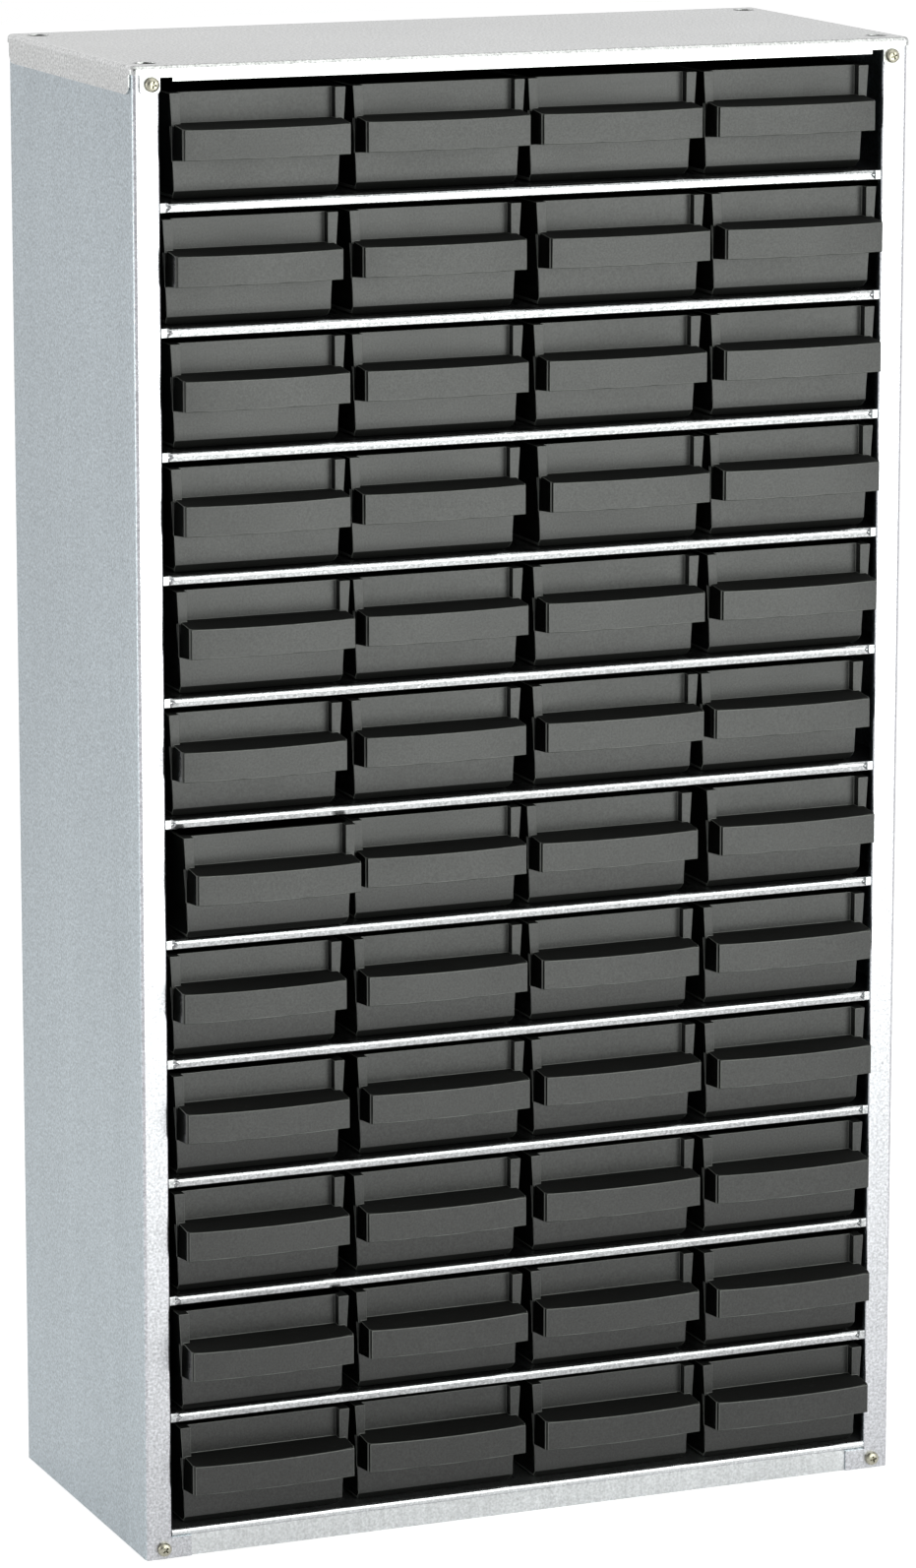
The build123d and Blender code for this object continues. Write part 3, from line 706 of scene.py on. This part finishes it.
def plated_screw():
    """Yellowish zinc plating, a little darker on its broad faces and lighter on the narrow rim
    faces, as painted highlight and wear.
    """
    screws = bpy.context.scene.cabinet_screws
    material, build, shader, place = new_material("Plated screw")
    crystals = use_group(build, "Zinc spangle", make_spangle_group, Vector=place,
                         Crystal_Scale=2200.0, Speckle_Scale=3600.0,
                         Crystal_Contrast=0.25, Speckle_Contrast=0.3)
    edges = use_group(build, "Rubbed edges", make_edge_group, Vector=place, Patch_Scale=900.0)
    # Broad faces at 0.9 and rim faces up to 1.25: a painted highlight on the rims together with
    # wear.
    shade = build.maths("MULTIPLY", crystals.outputs["Shade"],
                        build.spread(edges.outputs["Mask"], 0.0, 1.0, 0.9, 1.25))
    build.feed(shader.inputs["Base Color"], build.tinted(tuple(screws.colour), shade))
    shader.inputs["Metallic"].default_value = 1.0
    build.feed(shader.inputs["Roughness"],
               build.spread(crystals.outputs["Dullness"], 0.0, 1.0, 0.24, 0.38))
    return material


# ---- Pieces ------------------------------------------------------------------------------

PANEL_FINISH = {
    # node: (colour setting, streak stretch, streak depth, roughness, spangle contrast)
    # The colour settings are lighter and darker copies of one zinc: painted light on the cover and
    # the base, and painted shade on the sides and the back.
    "top_cover": ("cover_lit_colour", (30.0, 30.0, 160.0), 0.03, 0.34, 0.06),
    "left_side_panel": ("side_shaded_colour", (40.0, 40.0, 1.2), 0.07, 0.34, 0.05),
    "right_side_panel": ("side_shaded_colour", (40.0, 40.0, 1.2), 0.07, 0.34, 0.05),
    "back_panel": ("side_shaded_colour", (40.0, 40.0, 1.2), 0.06, 0.38, 0.05),
    "base_panel": ("base_lit_colour", (420.0, 60.0, 30.0), 0.14, 0.33, 0.03),
}


def ramp_guides(mesh, ramp):
    """Starts the base's guide ridges, its highest part, with a ramp like the shelves' own."""
    top = max(vertex.co.z for vertex in mesh.vertices)
    for vertex in mesh.vertices:
        if vertex.co.z > top - 0.3 * MM and vertex.co.y < 0:
            vertex.co.y += ramp


class CABINET_OT_case_panels(bpy.types.Operator):
    """Makes the cover, the side panels, the back and the base of galvanised sheet"""
    bl_idname = "cabinet.case_panels"
    bl_label = "Case panels"

    def execute(self, context):
        steel = context.scene.cabinet_steel
        for node_name in CASE_PANELS:
            colour, stretch, depth, roughness, spangle = PANEL_FINISH[node_name]
            material = galvanised_steel("Galvanised steel " + node_name, getattr(steel, colour),
                                        stretch, depth, roughness, spangle,
                                        steel.front_lit_colour if "side" in node_name else None)
            piece = merged_copy(node_name, node_name + "_sheet")
            if node_name == "base_panel":
                ramp_guides(piece.data, context.scene.cabinet_shelf.guide_ramp)
            finish_mesh(piece, steel.edge_rounding)
            if not piece.data.polygons:
                raise RuntimeError(f"{node_name} has no faces")
            place_piece(piece, CASE_BODY, "galvanised_steel", material, node_name)
        return {"FINISHED"}


def lip_outline(shelf, steps=6):
    """Outer line of the rolled lip from the deck, round the front, to its lower rear edge."""
    front, rear = 0.0, shelf.lip_depth
    upper, lower = shelf.lip_top_radius, shelf.lip_bottom_radius
    points = [(rear, 0.0)]
    for step in range(steps + 1):
        angle = math.pi / 2 * step / steps
        points.append((front + upper - upper * math.sin(angle), -upper + upper * math.cos(angle)))
    # Below the roll the lip leans back a little, down to its small lower radius.
    lean = shelf.lip_lean
    straight = 6
    top_end, bottom_start = -upper, -shelf.lip_height + lower
    for step in range(1, straight + 1):
        along = step / straight
        points.append((front + lean * along, top_end + (bottom_start - top_end) * along))
    for step in range(1, steps + 1):
        angle = math.pi / 2 * step / steps
        points.append((front + lean + lower - lower * math.cos(angle),
                       -shelf.lip_height + lower - lower * math.sin(angle)))
    points.append((rear, -shelf.lip_height))
    return points


def crimped(shelf, from_end, y, z):
    """How far back a point of the lip's front goes near its flattened, dented end."""
    flat = 0.45 * MM
    if from_end <= shelf.crimp_length:
        return max(y, flat)
    fade = 1.0 - (from_end - shelf.crimp_length) / shelf.dent_length
    if fade <= 0.0:
        return y
    # The dent is a triangle with its point away from the crimp, at the lip's mid height.
    half_width = shelf.lip_height * 0.46 * fade
    across = max(0.0, 1.0 - (abs(z + shelf.lip_height * 0.5) / half_width) ** 2)
    return y + shelf.dent_depth * min(1.0, 2.0 * fade) * across


def build_lip(work, shelf, half_length, front_y):
    """The rolled lip as a swept strip with thickness, crimped at both ends."""
    outline = lip_outline(shelf)
    ends = [0.0, 0.5, 0.97, 1.03, 1.15, 1.3, 1.45, 1.6, 1.75, 1.9, 2.0, 2.2]
    stations = []
    for ratio in ends:
        if ratio <= 1.0:
            stations.append(ratio * shelf.crimp_length)
        else:
            stations.append(shelf.crimp_length + (ratio - 1.0) * shelf.dent_length)
    places = [(-half_length + s, s) for s in stations]
    places += [(half_length * t, 1.0) for t in (-0.5, 0.0, 0.5)]
    places += [(half_length - s, s) for s in reversed(stations)]
    outer, inner = [], []
    for x, from_end in places:
        ring = []
        for y, z in outline:
            ring.append(Vector((x, front_y + crimped(shelf, from_end, y, z), z)))
        outer.append([work.verts.new(p) for p in ring])
        back = []
        for p in ring:
            q = p.copy()
            q.z = max(-shelf.lip_height + shelf.sheet, min(-shelf.sheet, p.z))
            q.y = max(front_y + 1.9 * shelf.sheet, p.y + 0.6 * shelf.sheet)
            q.y = min(front_y + shelf.lip_depth, q.y)
            back.append(q)
        inner.append([work.verts.new(q) for q in back])
    count = len(outline)
    for a in range(len(places) - 1):
        for i in range(count - 1):
            work.faces.new((outer[a][i], outer[a][i + 1], outer[a + 1][i + 1], outer[a + 1][i]))
            work.faces.new((inner[a][i], inner[a + 1][i], inner[a + 1][i + 1], inner[a][i + 1]))
        for i in (0, count - 1):
            work.faces.new((outer[a][i], outer[a + 1][i], inner[a + 1][i], inner[a][i]))
    for end in (0, -1):
        for i in range(count - 1):
            work.faces.new((outer[end][i], outer[end][i + 1], inner[end][i + 1], inner[end][i]))


class CABINET_OT_shelves(bpy.types.Operator):
    """Makes the eleven shelves with rolled lips and crimped ends"""
    bl_idname = "cabinet.shelves"
    bl_label = "Shelves"

    def execute(self, context):
        shelf = context.scene.cabinet_shelf
        steel = context.scene.cabinet_steel
        low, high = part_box("shelves")
        first_top = high.z - shelf.guide_height - (shelf.count - 1) * shelf.row_pitch
        half_opening = -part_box("left_side_panel")[0].x - shelf.flange_width
        work = bmesh.new()
        build_lip(work, shelf, half_opening, low.y)
        # Deck, downturned ends and rear edge, with the low guides between the columns.
        deck_front, deck_rear = low.y + shelf.lip_depth, high.y
        add_box(work, (low.x, deck_front, -shelf.sheet), (high.x, deck_rear, 0))
        for side in (-1, 1):
            inner, outer = side * (high.x - shelf.sheet), side * high.x
            add_box(work, (min(inner, outer), deck_front + shelf.end_setback, -shelf.end_height),
                    (max(inner, outer), deck_rear - shelf.end_setback, -0.5 * shelf.sheet))
        add_box(work, (-half_opening, deck_rear - shelf.sheet, -shelf.rear_height),
                (half_opening, deck_rear, -0.5 * shelf.sheet))
        for column in (-1, 0, 1):
            centre = column * shelf.column_pitch
            half_width = shelf.guide_width / 2
            ridge = add_box(
                work, (centre - half_width, low.y + shelf.guide_front, -0.5 * shelf.sheet),
                (centre + half_width, deck_rear - shelf.guide_rear, shelf.guide_height))
            # The ridge narrows upwards and starts with a ramp that drawers glide onto.
            ridge_middle = (low.y + deck_rear) / 2
            for vertex in ridge:
                if vertex.co.z > 0:
                    vertex.co.x = centre + (vertex.co.x - centre) * 0.35
                    if vertex.co.y < ridge_middle:
                        vertex.co.y += shelf.guide_ramp
        bmesh.ops.recalc_face_normals(work, faces=work.faces)
        mesh = bpy.data.meshes.new("shelf_sheets")
        work.to_mesh(mesh)
        work.free()
        piece = link_object("shelf_sheets", mesh)
        finish_mesh(piece, 0.0, sharp=24.0)
        material = galvanised_steel("Galvanised steel shelves", steel.lip_colour,
                                    (500.0, 500.0, 900.0), 0.35, 0.24, 0.05)
        run_tree(piece, stack_tree(), {"Count": shelf.count, "Pitch": shelf.row_pitch,
                                       "First Height": first_top, "Material": material},
                 "shelf_sheets")
        if len(piece.data.polygons) < shelf.count:
            raise RuntimeError("the shelves were not made")
        place_piece(piece, CASE_BODY, "galvanised_steel", material, "shelves")
        return {"FINISHED"}


class CABINET_OT_drawers(bpy.types.Operator):
    """Makes the moulded drawers, each on its own body"""
    bl_idname = "cabinet.drawers"
    bl_label = "Drawers"

    def execute(self, context):
        settings = context.scene.cabinet_drawers
        material = black_plastic()
        pattern_node = DRAWER_NODES[0]
        pattern = merged_copy(pattern_node, "drawer_pattern")
        finish_mesh(pattern, settings.edge_rounding, sharp=60.0)
        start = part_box(pattern_node)[0]
        tree = drawer_tree()
        for node_name in DRAWER_NODES:
            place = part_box(node_name)[0] - start
            piece = link_object(node_name + "_moulding", pattern.data.copy())
            run_tree(piece, tree, {"Place": tuple(place), "Material": material},
                     node_name + "_moulding")
            place_piece(piece, node_name, "black_plastic", material, node_name)
        bpy.data.objects.remove(pattern)
        return {"FINISHED"}


def screw_shape(settings):
    """Pan head with a cross recess, and a short thread."""
    radius, height = settings.head_diameter / 2, settings.head_height
    shank, length = settings.shank_diameter / 2, settings.shank_length
    profile = [(0, -length), (shank * 0.5, -length)]
    turns = 6
    for turn in range(turns):
        top = -length * (1 - (turn + 0.4) / (turns + 0.5))
        profile += [(shank * 0.82, top), (shank, top + length * 0.05)]
    profile += [(shank * 0.9, 0), (radius * 0.97, 0), (radius, height * 0.12),
                (radius * 0.985, height * 0.45), (radius * 0.9, height * 0.72),
                (radius * 0.72, height * 0.9), (radius * 0.45, height), (0, height)]
    work = lathe(profile, 28)
    mesh = bpy.data.meshes.new("screw")
    work.to_mesh(mesh)
    work.free()
    screw = link_object("screw_pattern", mesh)
    cross = bmesh.new()
    half, arm = settings.recess_length / 2, settings.recess_width / 2
    for a, b in ((half, arm), (arm, half)):
        corners = add_box(cross, (-a, -b, height * 0.45), (a, b, height * 1.4))
        for vertex in corners:
            if vertex.co.z < height:
                vertex.co.x *= 0.6
                vertex.co.y *= 0.6
    cross_mesh = bpy.data.meshes.new("recess")
    cross.to_mesh(cross_mesh)
    cross.free()
    cutter = link_object("recess_pattern", cross_mesh)
    cut = screw.modifiers.new("Cross recess", "BOOLEAN")
    cut.operation = "DIFFERENCE"
    cut.solver = "EXACT"
    cut.use_self = True
    cut.object = cutter
    mesh = plain_mesh(screw, "screw_pattern")
    screw.modifiers.clear()
    screw.data = mesh
    bpy.data.objects.remove(cutter)
    screw.data.shade_smooth()
    screw.data.set_sharp_from_angle(angle=math.radians(38))
    return screw


class CABINET_OT_corner_screws(bpy.types.Operator):
    """Makes the four screws of the front and the four of the rear"""
    bl_idname = "cabinet.corner_screws"
    bl_label = "Corner screws"

    def execute(self, context):
        settings = context.scene.cabinet_screws
        material = plated_screw()
        screw = screw_shape(settings)
        tree = screw_tree()
        sheet = context.scene.cabinet_shelf.sheet
        radius = settings.head_diameter / 2
        for node_name, facing in (("front_corner_screws", -1), ("rear_corner_screws", 1)):
            low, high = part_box(node_name)
            outer = low.y if facing < 0 else high.y
            mesh = bpy.data.meshes.new(node_name + "_seats")
            seats = []
            for x in (low.x + radius, high.x - radius):
                for z, lift in ((low.z + radius, sheet), (high.z - radius, 0.0)):
                    seats.append((x, outer - facing * (settings.head_height + lift), z))
            mesh.from_pydata(seats, [], [])
            piece = link_object(node_name + "_turned", mesh)
            run_tree(piece, tree, {
                "Screw": screw, "Facing": (-facing * math.pi / 2, 0.0, 0.0),
                "Most Turn": math.pi, "Seed": settings.seed, "Material": material},
                node_name + "_turned")
            if not piece.data.polygons:
                raise RuntimeError(f"{node_name} has no faces")
            place_piece(piece, CASE_BODY, "screw_steel", material, node_name)
        bpy.data.objects.remove(screw)
        return {"FINISHED"}


# ---- Stage -------------------------------------------------------------------------------

CAMERA_PLACE = Vector((-0.9159, -2.2212, 0.7696))
CAMERA_RIGHT = Vector((0.924460, -0.381279, 0.000526))
CAMERA_DOWN = Vector((-0.077386, -0.188983, -0.978926))
CAMERA_AHEAD = Vector((0.373343, 0.904938, -0.204213))
FOCAL_PIXELS = 6567.4
PHOTO_HEIGHT = 1593.0


def seen_by_lens(build):
    """1 for rays from the camera, a mirror-like surface or glass, otherwise 0."""
    path = build.add("ShaderNodeLightPath")
    seen = build.maths("MAXIMUM", path.outputs["Is Camera Ray"], path.outputs["Is Glossy Ray"])
    return build.maths("MAXIMUM", seen, path.outputs["Is Transmission Ray"])


def make_world(settings):
    """Even room light, seen as plain white."""
    world = bpy.data.worlds.new("Studio")
    bpy.context.scene.world = world
    world.use_nodes = True
    world.node_tree.nodes.clear()
    build = ShaderBuilder(world.node_tree)
    output = build.add("ShaderNodeOutputWorld")
    background = build.add("ShaderNodeBackground", Color=(1, 1, 1, 1))
    # Metal and plastic mirror a room that is darker behind the camera and overhead.
    path = build.add("ShaderNodeLightPath")
    ray = build.add("ShaderNodeTexCoord").outputs["Generated"]
    towards = build.add("ShaderNodeVectorMath", {"operation": "DOT_PRODUCT"})
    build.feed(towards.inputs[0], ray)
    build.feed(towards.inputs[1], tuple(-CAMERA_AHEAD))
    camera_side = build.spread(towards.outputs["Value"], 0.78, 0.94, 0.0, 0.88)
    height = build.add("ShaderNodeSeparateXYZ", Vector=ray).outputs["Z"]
    ceiling = build.spread(height, 0.40, 0.85, 0.0, 0.40)
    room = build.maths("SUBTRACT", 1.0, build.maths("MAXIMUM", camera_side, ceiling))
    mirrored = build.maths("MAXIMUM", room, path.outputs["Is Camera Ray"])
    mirrored = build.maths("MAXIMUM", mirrored, path.outputs["Is Transmission Ray"])
    seen = seen_by_lens(build)
    strength = build.maths("ADD", build.maths("MULTIPLY", mirrored, seen), build.maths(
        "MULTIPLY", build.maths("SUBTRACT", 1.0, seen), settings.ambient))
    build.feed(background.inputs["Strength"], strength)
    build.feed(output.inputs["Surface"], background.outputs["Background"])


def make_floor(settings):
    """Pale floor that keeps the object's shadow."""
    half = settings.floor_size / 2
    mesh = bpy.data.meshes.new("floor")
    mesh.from_pydata([(-half, -half, 0), (half, -half, 0), (half, half, 0), (-half, half, 0)],
                     [], [(0, 1, 2, 3)])
    floor = link_object("studio_floor", mesh)
    floor.location.z = -0.1 * MM
    material = bpy.data.materials.new("Studio floor")
    material.use_nodes = True
    material.node_tree.nodes.clear()
    build = ShaderBuilder(material.node_tree)
    output = build.add("ShaderNodeOutputMaterial")
    matt = build.add("ShaderNodeBsdfDiffuse", Color=(*settings.floor_colour, 1))
    # The floor's own light makes it white to the lens and pale in the metal's reflections.
    path = build.add("ShaderNodeLightPath")
    mirrored = build.maths("MAXIMUM", path.outputs["Is Glossy Ray"],
                           path.outputs["Is Transmission Ray"])
    strength = build.maths(
        "MAXIMUM", build.maths("MULTIPLY", mirrored, settings.floor_glow_mirrored),
        build.maths("MULTIPLY", path.outputs["Is Camera Ray"], settings.floor_glow_seen))
    glow = build.add("ShaderNodeEmission", Color=(1, 1, 1, 1), Strength=strength)
    both = build.add("ShaderNodeAddShader")
    build.feed(both.inputs[0], matt.outputs["BSDF"])
    build.feed(both.inputs[1], glow.outputs["Emission"])
    build.feed(output.inputs["Surface"], both.outputs["Shader"])
    floor.data.materials.append(material)


def add_panel_light(name, place, target, width, height, power):
    """A soft rectangular light that the camera doesn't see."""
    lamp = bpy.data.lights.new(name, "AREA")
    lamp.shape = "RECTANGLE"
    lamp.size, lamp.size_y = width, height
    lamp.energy = power
    light = bpy.data.objects.new(name, lamp)
    bpy.context.scene.collection.objects.link(light)
    light.location = place
    light.rotation_euler = (Vector(target) - Vector(place)).to_track_quat("-Z", "Y").to_euler()
    light.visible_camera = False
    lamp.color = (0.955, 1.0, 0.945)
    return light


PANEL_LIGHTS = (
    # name, place, target, width, height (metres), power setting
    ("Front panel", (0.30, -0.80, 0.40), (0.30, 0.0, 0.40), 0.90, 0.78, "front_panel_power"),
    ("Top panel", (0.15, -0.50, 1.70), (0.0, -0.10, 0.30), 1.50, 1.60, "top_panel_power"),
    ("Left panel", (-1.70, 0.35, 0.50), (0.0, 0.0, 0.30), 0.60, 1.00, "left_panel_power"),
)


def make_lights(settings):
    """The soft panels, of which the drawer fronts mirror the front one, and an overhead light."""
    for name, place, target, width, height, power in PANEL_LIGHTS:
        add_panel_light(name, place, target, width, height, getattr(settings, power))
    sun = bpy.data.lights.new("Overhead", "SUN")
    sun.energy = settings.overhead_power
    sun.angle = math.radians(70)
    light = bpy.data.objects.new("Overhead", sun)
    bpy.context.scene.collection.objects.link(light)
    light.rotation_euler = (math.radians(-12), math.radians(-10), 0)
    light.visible_glossy = False


def make_camera():
    """The photograph's place and angle, level with its frame's middle."""
    lens = bpy.data.cameras.new("Camera")
    lens.sensor_fit = "AUTO"
    lens.sensor_width = 36.0
    lens.lens = 36.0 * FOCAL_PIXELS / PHOTO_HEIGHT
    lens.clip_start, lens.clip_end = 0.05, 60.0
    camera = bpy.data.objects.new("Camera", lens)
    bpy.context.scene.collection.objects.link(camera)
    turn = Matrix((CAMERA_RIGHT, -CAMERA_DOWN, -CAMERA_AHEAD)).transposed().to_4x4()
    camera.matrix_world = Matrix.Translation(CAMERA_PLACE) @ turn
    bpy.context.scene.camera = camera


class CABINET_OT_stage(bpy.types.Operator):
    """Makes the floor, the light and the camera"""
    bl_idname = "cabinet.stage"
    bl_label = "Stage"

    def execute(self, context):
        settings = context.scene.cabinet_stage
        context.scene.view_settings.view_transform = "Standard"
        make_world(settings)
        make_floor(settings)
        make_lights(settings)
        make_camera()
        return {"FINISHED"}


# ---- Add-on ------------------------------------------------------------------------------

STEPS = ("case_panels", "shelves", "drawers", "corner_screws", "stage")


class CABINET_PT_sidebar(bpy.types.Panel):
    """Lists the cabinet's steps"""
    bl_idname = "CABINET_PT_sidebar"
    bl_label = "Parts bin cabinet"
    bl_space_type = "VIEW_3D"
    bl_region_type = "UI"
    bl_category = "Cabinet"

    def draw(self, context):
        layout = self.layout
        scene = context.scene
        for title, settings in (("Steel", scene.cabinet_steel), ("Shelves", scene.cabinet_shelf),
                                ("Drawers", scene.cabinet_drawers),
                                ("Screws", scene.cabinet_screws), ("Stage", scene.cabinet_stage)):
            box = layout.box()
            box.label(text=title)
            for key in settings.__annotations__:
                box.prop(settings, key)
        for step in STEPS:
            layout.operator("cabinet." + step)


SETTINGS = (
    ("cabinet_steel", CabinetSteelSettings),
    ("cabinet_shelf", CabinetShelfSettings),
    ("cabinet_drawers", CabinetDrawerSettings),
    ("cabinet_screws", CabinetScrewSettings),
    ("cabinet_stage", CabinetStageSettings),
)
OPERATORS = (CABINET_OT_case_panels, CABINET_OT_shelves, CABINET_OT_drawers,
             CABINET_OT_corner_screws, CABINET_OT_stage)


def register():
    for key, group in SETTINGS:
        bpy.utils.register_class(group)
        setattr(bpy.types.Scene, key, PointerProperty(type=group))
    for operator in OPERATORS:
        bpy.utils.register_class(operator)
    bpy.utils.register_class(CABINET_PT_sidebar)


def unregister():
    bpy.utils.unregister_class(CABINET_PT_sidebar)
    for operator in reversed(OPERATORS):
        bpy.utils.unregister_class(operator)
    for key, group in reversed(SETTINGS):
        delattr(bpy.types.Scene, key)
        bpy.utils.unregister_class(group)


def main():
    register()
    for step in STEPS:
        getattr(bpy.ops.cabinet, step)()


if __name__ == "__main__":
    main()
